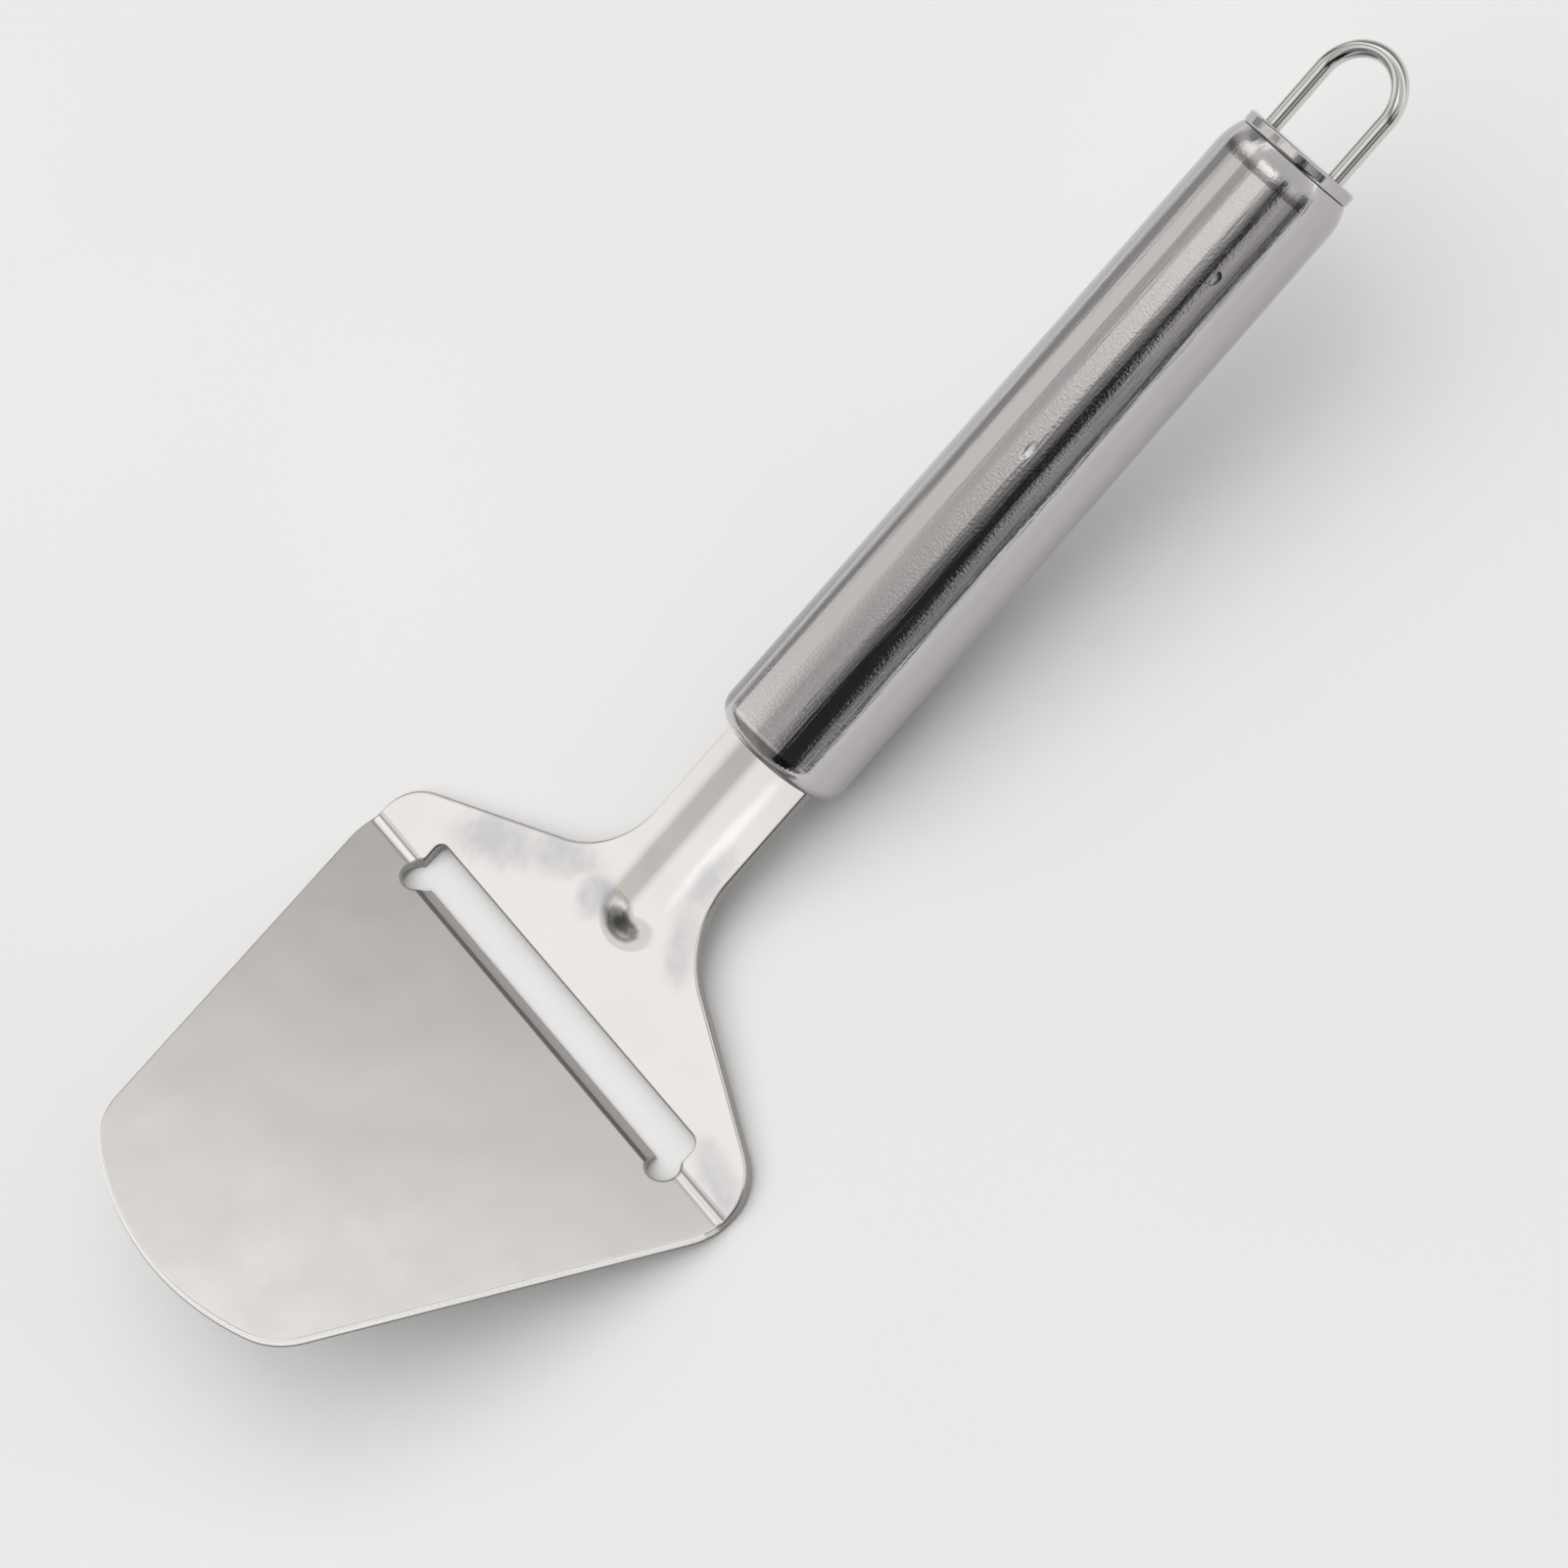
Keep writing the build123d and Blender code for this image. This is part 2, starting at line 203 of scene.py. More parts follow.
# Wire: film and drawing lines on it
WIRE_FILM_SHADE = (0.60, 0.59, 0.58, 1.0)
WIRE_FILM_STRENGTH = 0.2
WIRE_FILM_SIZE_SHARE = 0.4
WIRE_FILM_COVER = 0.35
WIRE_LINE_SPACING_SHARE = 0.3
WIRE_LINE_ROUGHENS = 0.10
WIRE_LINE_COVER = 0.5
WIRE_RELIEF = 0.000004
WIRE_RELIEF_STRENGTH = 0.4

# Weld beads: size and cover of the heat tint's patches, grain of the skin, and the relief
HEAT_PATCH_SIZE = 0.002
HEAT_PATCH_COVER = 0.5
WELD_GRAIN = 0.0004
WELD_ROUGHNESS_BELOW = 0.08
WELD_ROUGHNESS_ABOVE = 0.12
WELD_RELIEF = 0.00005
WELD_RELIEF_STRENGTH = 0.8

# Floor: clouds per metre and how much darker they are
FLOOR_CLOUDS = 6.0
FLOOR_CLOUD_SHADE = 0.97
FLOOR_ROUGHNESS = 0.9
FLOOR_SHINE = 0.1


class SLICER_PG_finishes(bpy.types.PropertyGroup):
    """Colours and sizes of the steel finishes, and of the painted highlights, reflections and shade on them.
    """

    blade_colour: FloatVectorProperty(
        name="Blade steel", description="Colour of the blade's steel", subtype="COLOR", size=4,
        min=0, max=1, default=(0.81, 0.79, 0.77, 1),
    )
    handle_colour: FloatVectorProperty(
        name="Handle steel", description="Colour of the polished handle", subtype="COLOR", size=4,
        min=0, max=1, default=(0.62, 0.61, 0.61, 1),
    )
    wire_colour: FloatVectorProperty(
        name="Wire steel", description="Colour of the hanging loop", subtype="COLOR", size=4,
        min=0, max=1, default=(0.68, 0.68, 0.67, 1),
    )
    weld_colour: FloatVectorProperty(
        name="Weld", description="Colour of the hidden weld beads", subtype="COLOR", size=4,
        min=0, max=1, default=(0.42, 0.40, 0.38, 1),
    )
    heat_colour: FloatVectorProperty(
        name="Heat tint", description="Straw and blue tint that welding leaves", subtype="COLOR", size=4,
        min=0, max=1, default=(0.30, 0.24, 0.28, 1),
    )
    # Cool tint of the painted reflections on the shoulders and neck, and of the real handling film on the
    # handle
    film_and_reflection_colour: FloatVectorProperty(
        name="Film", description="Cool film left on the polished shoulders", subtype="COLOR", size=4,
        min=0, max=1, default=(0.61, 0.61, 0.65, 1),
    )
    # Dull sheared steel on the cut edges, darkened further as painted shade along them
    sheared_and_shaded_colour: FloatVectorProperty(
        name="Sheared edges", description="Colour of the blade's cut edges", subtype="COLOR", size=4,
        min=0, max=1, default=(0.28, 0.275, 0.27, 1),
    )
    # Painted shade low on the handle's flanks
    flank_shade_colour: FloatVectorProperty(
        name="Flanks", description="Duller steel low on the handle's flanks", subtype="COLOR", size=4,
        min=0, max=1, default=(0.53, 0.51, 0.53, 1),
    )
    # Painted shade on the handle's far flank, darkest by the blade
    far_shade_front_colour: FloatVectorProperty(
        name="Far flank, front", description="Dark film on the handle's far side by the blade",
        subtype="COLOR", size=4, min=0, max=1, default=(0.30, 0.295, 0.32, 1),
    )
    far_shade_rear_colour: FloatVectorProperty(
        name="Far flank, rear", description="Film on the rest of the handle's far side", subtype="COLOR",
        size=4, min=0, max=1, default=(0.48, 0.475, 0.50, 1),
    )
    # Painted shade in the channel's round end
    tip_shade_colour: FloatVectorProperty(
        name="Grime", description="Dark grime in the channel's round end", subtype="COLOR", size=4,
        min=0, max=1, default=(0.10, 0.098, 0.095, 1),
    )
    # Painted highlight on the toe plate's rounded rim
    rim_highlight_colour: FloatVectorProperty(
        name="Toe rim", description="Bright broken edge round the toe plate", subtype="COLOR", size=4,
        min=0, max=1, default=(0.98, 0.98, 0.97, 1),
    )
    # Painted shade on the lip's upper face
    lip_shade_colour: FloatVectorProperty(
        name="Ground lip", description="Colour of the ground cutting lip", subtype="COLOR", size=4,
        min=0, max=1, default=(0.40, 0.385, 0.38, 1),
    )
    # Where the toe rim's painted highlight gives way to its foot of painted shade
    rim_foot: FloatProperty(
        name="Rim's foot", description="Where the toe rim turns dark, measured square to the toe plate",
        unit="LENGTH", default=-0.02185,
    )
    toe_roughness: FloatProperty(
        name="Toe plate", description="Roughness of the satin toe plate", subtype="FACTOR",
        min=0, max=1, default=0.22,
    )
    shoulder_roughness: FloatProperty(
        name="Shoulders", description="Roughness of the polished shoulders and neck", subtype="FACTOR",
        min=0, max=1, default=0.14,
    )
    handle_roughness: FloatProperty(
        name="Handle", description="Roughness of the polished handle", subtype="FACTOR",
        min=0, max=1, default=0.06,
    )
    wire_roughness: FloatProperty(
        name="Wire", description="Roughness of the hanging loop", subtype="FACTOR",
        min=0, max=1, default=0.07,
    )
    weld_roughness: FloatProperty(
        name="Weld beads", description="Roughness of the weld beads", subtype="FACTOR",
        min=0, max=1, default=0.50,
    )
    crease_place: FloatProperty(
        name="Crease", description="Where along X the satin toe plate meets the polished shoulders",
        unit="LENGTH", default=-0.0547,
    )
    smudge_size: FloatProperty(
        name="Smudge size", description="Width of a typical smudge", unit="LENGTH", default=0.011,
    )
    scratch_spacing: FloatProperty(
        name="Scratch spacing", description="Distance between fine scratches", unit="LENGTH",
        default=0.0009,
    )
    # Where the lip, which takes painted shade, begins
    lip_place: FloatProperty(
        name="Lip place", description="Where the ground lip begins, measured along the toe plate",
        unit="LENGTH", default=-0.0527,
    )
    slot_far_edge: FloatProperty(
        name="Slot's far edge", description="Where along X the slot's rim meets the shoulders",
        unit="LENGTH", default=-0.0491,
    )
    notch_radius: FloatProperty(
        name="Notch radius", description="Radius of the round notch at each end of the slot",
        unit="LENGTH", default=0.00235,
    )
    lip_half_length: FloatProperty(
        name="Lip half length", description="Half the length of the ground lip", unit="LENGTH",
        default=0.0293,
    )
    toe_pitch: FloatProperty(
        name="Toe pitch", description="Rise of the toe plate from the bend to the nose", subtype="ANGLE",
        default=math.radians(24.23),
    )
    handle_pitch: FloatProperty(
        name="Handle pitch", description="Rise of the handle's line above the floor", subtype="ANGLE",
        default=math.radians(10.77),
    )


class SLICER_PG_stage(bpy.types.PropertyGroup):
    """Sizes and colours of the floor, the light and the camera."""

    floor_colour: FloatVectorProperty(
        name="Floor", description="Colour of the pale floor", subtype="COLOR", size=4,
        min=0, max=1, default=(0.86, 0.86, 0.86, 1),
    )
    floor_radius: FloatProperty(
        name="Floor radius", description="Radius of the round floor", unit="LENGTH", default=8.0,
    )
    floor_sides: IntProperty(
        name="Floor sides", description="Number of sides of the floor's outline", min=8, default=96,
    )
    lamp_power: FloatProperty(
        name="Lamp power", description="Power of the soft lamp overhead", unit="POWER", default=41.5,
    )
    lamp_size: FloatProperty(
        name="Lamp size", description="Side of the square soft lamp", unit="LENGTH", default=4.0,
    )
    lamp_place: FloatVectorProperty(
        name="Lamp place", description="Middle of the soft lamp", subtype="TRANSLATION", unit="LENGTH",
        default=(-0.25, 0.15, 2.2),
    )
    camera_place: FloatVectorProperty(
        name="Camera place", description="Where the camera stands", subtype="TRANSLATION",
        unit="LENGTH", default=(0.00333, -0.32944, 0.56610),
    )
    camera_turn: FloatVectorProperty(
        name="Camera turn", description="The camera's turn about X, Y and Z", subtype="EULER",
        default=tuple(math.radians(angle) for angle in (22.4243, 20.9559, -38.6682)),
    )
    camera_lens: FloatProperty(
        name="Lens", description="Focal length of the camera", default=112.43,
    )


def add(tree, kind, values=None, **settings):
    """A new node of one kind: settings are its own options, values are numbers or links for its inputs."""
    made = tree.nodes.new(kind)
    for name, value in settings.items():
        setattr(made, name, value)
    for name, value in (values or {}).items():
        fill(tree, made.inputs[name], value)
    return made


def fill(tree, socket, value):
    """Links value to the socket, or sets it where value is a number or a tuple."""
    if isinstance(value, bpy.types.NodeSocket):
        tree.links.new(value, socket)
    else:
        socket.default_value = value


def reckon(tree, operation, *values):
    """One Math node's result."""
    return add(tree, "ShaderNodeMath", dict(enumerate(values)), operation=operation).outputs[0]


def product(tree, first, *others):
    """All the values multiplied together."""
    for other in others:
        first = reckon(tree, "MULTIPLY", first, other)
    return first


def rest_of(tree, mask):
    """What a mask leaves over: 1 where it is 0."""
    return reckon(tree, "SUBTRACT", 1.0, mask)


def along_vector(tree, vector, line):
    """How far a vector leans along a line."""
    values = {0: vector, 1: line}
    return add(tree, "ShaderNodeVectorMath", values, operation="DOT_PRODUCT").outputs["Value"]


def axis_parts(tree, vector):
    """The vector's X, Y and Z."""
    return add(tree, "ShaderNodeSeparateXYZ", {"Vector": vector}).outputs


def step_between(tree, value, low, high, to_low=0.0, to_high=1.0):
    """value's smooth step from to_low at low to to_high at high."""
    values = {"Value": value, "From Min": low, "From Max": high, "To Min": to_low, "To Max": to_high}
    return add(tree, "ShaderNodeMapRange", values, interpolation_type="SMOOTHSTEP").outputs["Result"]


def slope_between(tree, value, low, high, to_low=0.0, to_high=1.0):
    """value's straight slope from to_low at low to to_high at high."""
    values = {"Value": value, "From Min": low, "From Max": high, "To Min": to_low, "To Max": to_high}
    return add(tree, "ShaderNodeMapRange", values).outputs["Result"]


def blend_colours(tree, share, first, second):
    """first where share is 0 and second where it is 1."""
    mix = tree.nodes.new("ShaderNodeMix")
    mix.data_type = "RGBA"
    values = {"Factor_Float": share, "A_Color": first, "B_Color": second}
    for socket in mix.inputs:
        if socket.identifier in values:
            fill(tree, socket, values[socket.identifier])
    return next(out for out in mix.outputs if out.identifier == "Result_Color")


def blend_values(tree, share, first, second):
    """first where share is 0 and second where it is 1, for plain values."""
    return add(tree, "ShaderNodeMix", {"Factor": share, "A": first, "B": second}).outputs["Result"]


def colour_steps(tree, value, steps, low, high):
    """A colour ramp over steps of (place between low and high, colour)."""
    ramp = add(tree, "ShaderNodeValToRGB", {"Fac": slope_between(tree, value, low, high)})
    stops = ramp.color_ramp.elements
    stops[0].position = 0.0
    stops[1].position = 1.0
    for place, _ in steps[1:-1]:
        stops.new((place - low) / (high - low))
    for stop, (_, colour) in zip(stops, steps):
        stop.color = (*colour, 1.0)
    return ramp.outputs["Color"]


def new_group(name, inputs, outputs):
    """An empty node group with its named sockets, and its two end nodes."""
    tree = bpy.data.node_groups.new(name, "ShaderNodeTree")
    for label, kind, default in inputs:
        socket = tree.interface.new_socket(label, in_out="INPUT", socket_type=kind)
        if default is not None:
            socket.default_value = default
    for label, kind in outputs:
        tree.interface.new_socket(label, in_out="OUTPUT", socket_type=kind)
    return tree, tree.nodes.new("NodeGroupInput").outputs, tree.nodes.new("NodeGroupOutput")


def scratches_group():
    """Fine scratches along X: noise drawn out long in X, cut to its crests.

    Mask is 1 on a scratch; Height is the fine relief of the whole surface.
    """
    drawn_out = (0.02, 1.0, 1.0)
    highest_crest = 0.75
    crest_range = 0.3
    crest_fade = 0.08
    tree, given, result = new_group(
        "Fine scratches",
        (
            ("Vector", "NodeSocketVector", None),
            ("Spacing", "NodeSocketFloat", 0.001),
            ("Cover", "NodeSocketFloat", 0.3),
        ),
        (("Mask", "NodeSocketFloat"), ("Height", "NodeSocketFloat")),
    )
    values = {0: given["Vector"], 1: drawn_out}
    stretched = add(tree, "ShaderNodeVectorMath", values, operation="MULTIPLY").outputs[0]
    scale = reckon(tree, "DIVIDE", 1.0, given["Spacing"])
    values = {"Vector": stretched, "Scale": scale, "Detail": 4.0, "Roughness": 0.6}
    fine = add(tree, "ShaderNodeTexNoise", values).outputs["Fac"]
    crest = reckon(tree, "SUBTRACT", highest_crest, product(tree, given["Cover"], crest_range))
    mask = step_between(tree, fine, crest, reckon(tree, "ADD", crest, crest_fade))
    tree.links.new(mask, result.inputs["Mask"])
    tree.links.new(fine, result.inputs["Height"])
    return tree


def smudges_group():
    """Soft patches of film from handling: warped cloud noise cut to soft islands."""
    highest_shore = 0.72
    shore_range = 0.35
    shore_fade = 0.22
    tree, given, result = new_group(
        "Handling smudges",
        (
            ("Vector", "NodeSocketVector", None),
            ("Size", "NodeSocketFloat", 0.01),
            ("Cover", "NodeSocketFloat", 0.4),
        ),
        (("Mask", "NodeSocketFloat"),),
    )
    scale = reckon(tree, "DIVIDE", 1.0, given["Size"])
    values = {"Vector": given["Vector"], "Scale": scale, "Detail": 3.0, "Roughness": 0.5, "Distortion": 0.6}
    cloud = add(tree, "ShaderNodeTexNoise", values).outputs["Fac"]
    shore = reckon(tree, "SUBTRACT", highest_shore, product(tree, given["Cover"], shore_range))
    mask = step_between(tree, cloud, shore, reckon(tree, "ADD", shore, shore_fade))
    tree.links.new(mask, result.inputs["Mask"])
    return tree


def satin_group():
    """Even satin: fine grain and slow waves for the relief, faint clouds for the shade, all about 0.5.

    Each is a noise whose pitch is a share of the grain's, with its own detail.
    """
    tree, given, result = new_group(
        "Satin grain",
        (("Vector", "NodeSocketVector", None), ("Grain", "NodeSocketFloat", 0.0003)),
        (("Clouds", "NodeSocketFloat"), ("Grain", "NodeSocketFloat"), ("Waves", "NodeSocketFloat")),
    )
    scale = reckon(tree, "DIVIDE", 1.0, given["Grain"])
    for name, share, detail in (("Grain", 1.0, 2.0), ("Clouds", 0.05, 3.0), ("Waves", 0.018, 1.0)):
        values = {"Vector": given["Vector"], "Scale": product(tree, scale, share), "Detail": detail}
        tree.links.new(add(tree, "ShaderNodeTexNoise", values).outputs["Fac"], result.inputs[name])
    return tree


def patch_group():
    """One soft patch: an ellipse about a place, its shore broken up by cloud noise.

    The vector from the place is turned and divided by the patch's reach; the mask falls smoothly from 1
    to 0 as that vector's length plus the noise rises past the shore.
    """
    clouds_per_metre = 260.0
    cloud_share = 0.9
    shore = 1.45
    full = 0.35
    tree, given, result = new_group(
        "Soft patch",
        (
            ("Vector", "NodeSocketVector", None),
            ("Place", "NodeSocketVector", None),
            ("Reach", "NodeSocketVector", (0.01, 0.01, 0.01)),
            ("Turn", "NodeSocketFloat", 0.0),
        ),
        (("Mask", "NodeSocketFloat"),),
    )
    values = {0: given["Vector"], 1: given["Place"]}
    apart = add(tree, "ShaderNodeVectorMath", values, operation="SUBTRACT").outputs[0]
    values = {"Vector": apart, "Angle": given["Turn"]}
    turned = add(tree, "ShaderNodeVectorRotate", values, rotation_type="Z_AXIS").outputs["Vector"]
    values = {0: turned, 1: given["Reach"]}
    within = add(tree, "ShaderNodeVectorMath", values, operation="DIVIDE").outputs[0]
    length = add(tree, "ShaderNodeVectorMath", {0: within}, operation="LENGTH").outputs["Value"]
    values = {"Vector": given["Vector"], "Scale": clouds_per_metre, "Detail": 3.0, "Distortion": 0.8}
    cloud = add(tree, "ShaderNodeTexNoise", values).outputs["Fac"]
    swing = product(tree, reckon(tree, "SUBTRACT", cloud, 0.5), cloud_share)
    mask = step_between(tree, reckon(tree, "ADD", length, swing), shore, full)
    tree.links.new(mask, result.inputs["Mask"])
    return tree


def edge_group():
    """1 where the surface stands square to a sheet's face, as its cut edges do.

    It goes by how little the surface's normal leans along the sheet's own normal, to either side.
    """
    fade = 0.25
    tree, given, result = new_group(
        "Cut edge",
        (
            ("Upright", "NodeSocketVector", (0.0, 0.0, 1.0)),
            ("Lean", "NodeSocketFloat", 0.45),
        ),
        (("Mask", "NodeSocketFloat"),),
    )
    facing = add(tree, "ShaderNodeNewGeometry").outputs["Normal"]
    lean = reckon(tree, "ABSOLUTE", along_vector(tree, facing, given["Upright"]))
    inner = reckon(tree, "SUBTRACT", given["Lean"], fade)
    tree.links.new(step_between(tree, lean, given["Lean"], inner), result.inputs["Mask"])
    return tree


def grouped(tree, name, build, **values):
    """The named node group placed in tree with its own values, and built the first time it is asked for."""
    made = tree.nodes.new("ShaderNodeGroup")
    made.node_tree = bpy.data.node_groups.get(name) or build()
    for label, value in values.items():
        fill(tree, made.inputs[label], value)
    return made.outputs


def scratches_on(tree, vector, spacing, cover):
    """Fine scratches along the vector's X."""
    return grouped(tree, "Fine scratches", scratches_group, Vector=vector, Spacing=spacing, Cover=cover)


def smudges_on(tree, vector, size, cover):
    """The mask of smudges from handling."""
    return grouped(tree, "Handling smudges", smudges_group, Vector=vector, Size=size, Cover=cover)["Mask"]


def satin_on(tree, vector, grain):
    """Satin's clouds, grain and waves."""
    return grouped(tree, "Satin grain", satin_group, Vector=vector, Grain=grain)


def patch_on(tree, vector, place, reach, turn=0.0):
    """The mask of one soft patch."""
    values = {"Vector": vector, "Place": place, "Reach": reach, "Turn": turn}
    return grouped(tree, "Soft patch", patch_group, **values)["Mask"]


def cut_edge(tree, upright, lean):
    """The mask of the surface that stands square to a sheet, whose own normal is upright."""
    return grouped(tree, "Cut edge", edge_group, Upright=upright, Lean=lean)["Mask"]


def new_metal(name):
    """A material whose Principled BSDF is fully metallic, its node tree and that shader."""
    material = bpy.data.materials.new(name)
    material.use_nodes = True
    shader = material.node_tree.nodes["Principled BSDF"]
    shader.inputs["Metallic"].default_value = 1.0
    return material, material.node_tree, shader


def raised(tree, shader, height, depth, strength=1.0):
    """The shader's normal follows height, which stands depth metres at most."""
    values = {"Height": height, "Distance": depth, "Strength": strength}
    tree.links.new(add(tree, "ShaderNodeBump", values).outputs["Normal"], shader.inputs["Normal"])


def object_place(tree):
    """Object coordinates, which are the part's own."""
    return add(tree, "ShaderNodeTexCoord").outputs["Object"]


def along_handle(tree, pitch):
    """Object coordinates turned so that X runs along the handle."""
    values = {"Vector": object_place(tree), "Rotation": (0.0, pitch, 0.0)}
    return add(tree, "ShaderNodeMapping", values).outputs["Vector"]


def handle_upright(pitch):
    """The direction square to the handle's line and the neck, in the slicer's plane of symmetry."""
    return (-math.sin(pitch), 0.0, math.cos(pitch))


def reflections_on_shoulders(tree, own, along):
    """Painted reflections, cool in tint: the listed patches, thinned here and there by finer clouds."""
    reflection_patches = 0.0
    for middle, reach, turn, density in REFLECTION_PATCHES:
        patch = patch_on(tree, own, middle, reach, turn)
        reflection_patches = reckon(tree, "MAXIMUM", reflection_patches, product(tree, patch, density))
    clouds = satin_on(tree, along, PATCH_CLOUD_GRAIN)["Clouds"]
    thinned = step_between(tree, clouds, PATCH_CLOUD_LOW, PATCH_CLOUD_HIGH, PATCH_THINNEST, 1.0)
    return product(tree, reflection_patches, thinned)


def notch_rims(tree, from_middle, toe_place, finishes):
    """The sharp rims of the slot's two notches: a narrow ring about each notch's centre."""
    aside = reckon(tree, "SUBTRACT", from_middle, finishes.lip_half_length)
    behind = reckon(tree, "SUBTRACT", toe_place["X"], finishes.lip_place + NOTCH_BEHIND_LIP)
    squares = reckon(tree, "ADD", product(tree, aside, aside), product(tree, behind, behind))
    outer = finishes.notch_radius + NOTCH_RIM_OUTER
    inner = finishes.notch_radius + NOTCH_RIM_INNER
    return step_between(tree, reckon(tree, "SQRT", squares), outer, inner)


def lip_face(tree, from_middle, past_root, toe_place, finishes):
    """The lip's upper face: past its root, short of its tip and between the notches."""
    half_length = finishes.lip_half_length
    tip = finishes.lip_place + LIP_LENGTH
    between_notches = step_between(tree, from_middle, half_length, half_length - LIP_END_FADE)
    ahead_of_tip = step_between(tree, toe_place["X"], tip, tip - LIP_TIP_FADE)
    return product(tree, past_root, between_notches, ahead_of_tip)


def blade_steel(finishes):
    """Satin toe plate ahead of the crease; polished shoulders and neck behind it with cool painted
    reflections.

    The toe plate's rim carries a painted highlight over a foot of painted shade, the other cut edges are
    dull sheared steel with painted shade, a painted highlight runs along the neck, and painted shade lies in
    the channel's round end and on the lip.
    """
    material, tree, shader = new_metal("blade_satin_and_polish")
    own = object_place(tree)
    along = along_handle(tree, finishes.handle_pitch)
    place = axis_parts(tree, own)
    down_toe = add(tree, "ShaderNodeMapping", {"Vector": own, "Rotation": (0.0, -finishes.toe_pitch, 0.0)})
    toe_place = axis_parts(tree, down_toe.outputs["Vector"])
    from_middle = reckon(tree, "ABSOLUTE", place["Y"])

    # Where each finish lies
    crease = finishes.crease_place
    polished = step_between(tree, place["X"], crease - CREASE_FADE_AHEAD, crease + CREASE_FADE_BEHIND)
    # Painted reflections, cool in tint, on the shoulders and neck
    reflection_patches = product(tree, reflections_on_shoulders(tree, own, along), polished)
    satin = satin_on(tree, own, BLADE_GRAIN)
    scratches = scratches_on(tree, along, finishes.scratch_spacing * STREAK_SPACING_SHARE, STREAK_COVER)
    smudges = smudges_on(tree, own, finishes.smudge_size, WORN_COVER)
    # Painted highlight along the neck
    neck_highlight = patch_on(tree, own, NECK_HIGHLIGHT_PLACE, NECK_HIGHLIGHT_REACH)
    # Painted shade in the channel's round end
    tip_shade = patch_on(tree, own, TIP_SHADE_PLACE, TIP_SHADE_REACH)
    toe_upright = (math.sin(finishes.toe_pitch), 0.0, math.cos(finishes.toe_pitch))
    toe_wall = cut_edge(tree, toe_upright, TOE_WALL_LEAN)
    toe_rim = cut_edge(tree, toe_upright, TOE_RIM_LEAN)
    # The toe rim's foot, which takes painted shade
    low_down = step_between(tree, toe_place["Z"], finishes.rim_foot, finishes.rim_foot - RIM_FOOT_FADE)
    slot_edge = finishes.slot_far_edge
    neck_lean = step_between(tree, place["X"], slot_edge, slot_edge + SLOT_EDGE_FADE,
                             SLOT_EDGE_LEAN, NECK_EDGE_LEAN)
    neck_edge = cut_edge(tree, handle_upright(finishes.handle_pitch), neck_lean)
    # Cut edges: dull sheared steel, with dark painted shade along the neck's edges, the toe rim's foot and
    # the notches' rims
    sheared_and_shaded = blend_values(tree, polished, product(tree, toe_rim, low_down),
                           product(tree, neck_edge, NECK_EDGE_STRENGTH))
    notches = notch_rims(tree, from_middle, toe_place, finishes)
    sheared_and_shaded = reckon(tree, "MAXIMUM", sheared_and_shaded, product(tree, notches, NOTCH_RIM_STRENGTH))
    past_root = step_between(tree, toe_place["X"], finishes.lip_place, finishes.lip_place + LIP_ROOT_FADE)
    # The lip's upper face, which takes painted shade
    lip = lip_face(tree, from_middle, past_root, toe_place, finishes)
    # Painted highlight on the toe plate's rounded rim
    rim_highlight = product(tree, toe_rim, rest_of(tree, polished), rest_of(tree, past_root),
                         rest_of(tree, low_down))

    # Each finish's colour over the one before
    cloudy = step_between(tree, satin["Clouds"], CLOUD_LOW, CLOUD_HIGH, 0.0, CLOUD_STRENGTH)
    coloured = tuple(finishes.blade_colour)
    for mask, colour in (
        (cloudy, CLOUD_SHADE),
        (product(tree, smudges, WORN_STRENGTH, polished), WORN_SHADE),
        (product(tree, scratches["Mask"], STREAK_STRENGTH, polished), STREAK_SHADE),
        # Painted highlight along the neck
        (neck_highlight, NECK_HIGHLIGHT_SHADE),
        # Painted reflections, cool in tint
        (reflection_patches, tuple(finishes.film_and_reflection_colour)),
        # Painted shade in the channel's round end
        (tip_shade, tuple(finishes.tip_shade_colour)),
        # Cut edges: dull sheared steel darkened with painted shade
        (sheared_and_shaded, tuple(finishes.sheared_and_shaded_colour)),
        # Painted highlight on the toe rim
        (rim_highlight, tuple(finishes.rim_highlight_colour)),
        # Painted shade on the lip
        (lip, tuple(finishes.lip_shade_colour)),
    ):
        coloured = blend_colours(tree, mask, coloured, colour)
    tree.links.new(coloured, shader.inputs["Base Color"])

    # The rim's rounded part isn't metallic, so that it catches the lamp as a painted highlight
    rounded = product(tree, rim_highlight, rest_of(tree, toe_wall))
    tree.links.new(rest_of(tree, rounded), shader.inputs["Metallic"])
    smoothest = finishes.toe_roughness - TOE_ROUGHNESS_SWING
    roughest = finishes.toe_roughness + TOE_ROUGHNESS_SWING
    toe_rough = step_between(tree, satin["Clouds"], CLOUD_LOW, CLOUD_HIGH, smoothest, roughest)
    streaked = product(tree, scratches["Mask"], STREAK_ROUGHENS)
    shoulder_rough = reckon(tree, "ADD", finishes.shoulder_roughness, streaked)
    shoulder_rough = reckon(tree, "ADD", shoulder_rough, product(tree, reflection_patches, PATCH_ROUGHENS))
    rough = blend_values(tree, polished, toe_rough, shoulder_rough)
    rough = reckon(tree, "MAXIMUM", rough, product(tree, sheared_and_shaded, CUT_EDGE_ROUGHNESS))
    tree.links.new(rough, shader.inputs["Roughness"])
    relief = reckon(tree, "ADD", product(tree, satin["Grain"], BLADE_GRAIN_SHARE), satin["Waves"])
    raised(tree, shader, relief, BLADE_RELIEF)
    return material


